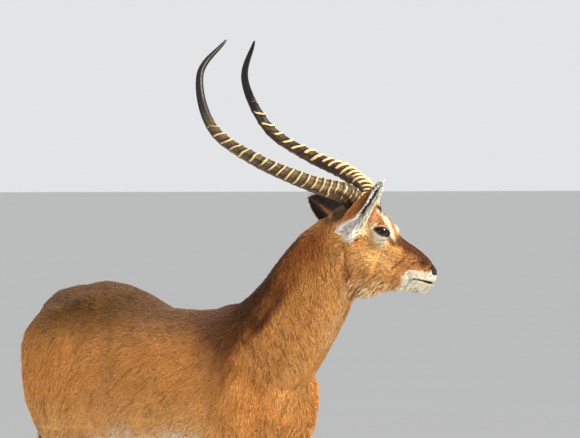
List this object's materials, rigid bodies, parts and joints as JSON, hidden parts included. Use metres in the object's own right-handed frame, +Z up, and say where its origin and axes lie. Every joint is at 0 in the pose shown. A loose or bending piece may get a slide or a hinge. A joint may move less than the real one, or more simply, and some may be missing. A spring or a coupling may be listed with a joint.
{
  "type": "red lechwe antelope",
  "caption": "Life-size still model of an adult male red lechwe standing on four legs, head raised and turned to its left, with long ringed horns swept back.",
  "frame": {"origin": "middle of the model's bounding box, at floor level under the hooves", "axes": "+Z up; -Y the way the trunk faces; +X the animal's left"},
  "size_m": [0.5388, 1.5656, 1.6698],
  "materials": {
    "chestnut_coat": "short dense fur, chestnut above and white below",
    "horn_sheath": "ringed horn keratin, worn pale on the ring crests",
    "hoof_horn": "dark hoof keratin",
    "eye_dark": "wet, glossy, near black"
  },
  "bodies": {
    "root": {"ear_left": "chestnut_coat", "ear_right": "chestnut_coat", "eye_left": "eye_dark", "eye_right": "eye_dark", "foreleg_left": "chestnut_coat", "foreleg_right": "chestnut_coat", "head": "chestnut_coat", "hindleg_left": "chestnut_coat", "hindleg_right": "chestnut_coat", "hoof_fore_left_inner": "hoof_horn", "hoof_fore_left_outer": "hoof_horn", "hoof_fore_right_inner": "hoof_horn", "hoof_fore_right_outer": "hoof_horn", "hoof_hind_left_inner": "hoof_horn", "hoof_hind_left_outer": "hoof_horn", "hoof_hind_right_inner": "hoof_horn", "hoof_hind_right_outer": "hoof_horn", "horn_left": "horn_sheath", "horn_right": "horn_sheath", "neck": "chestnut_coat", "tail": "chestnut_coat", "trunk": "chestnut_coat"}
  },
  "joints": []
}
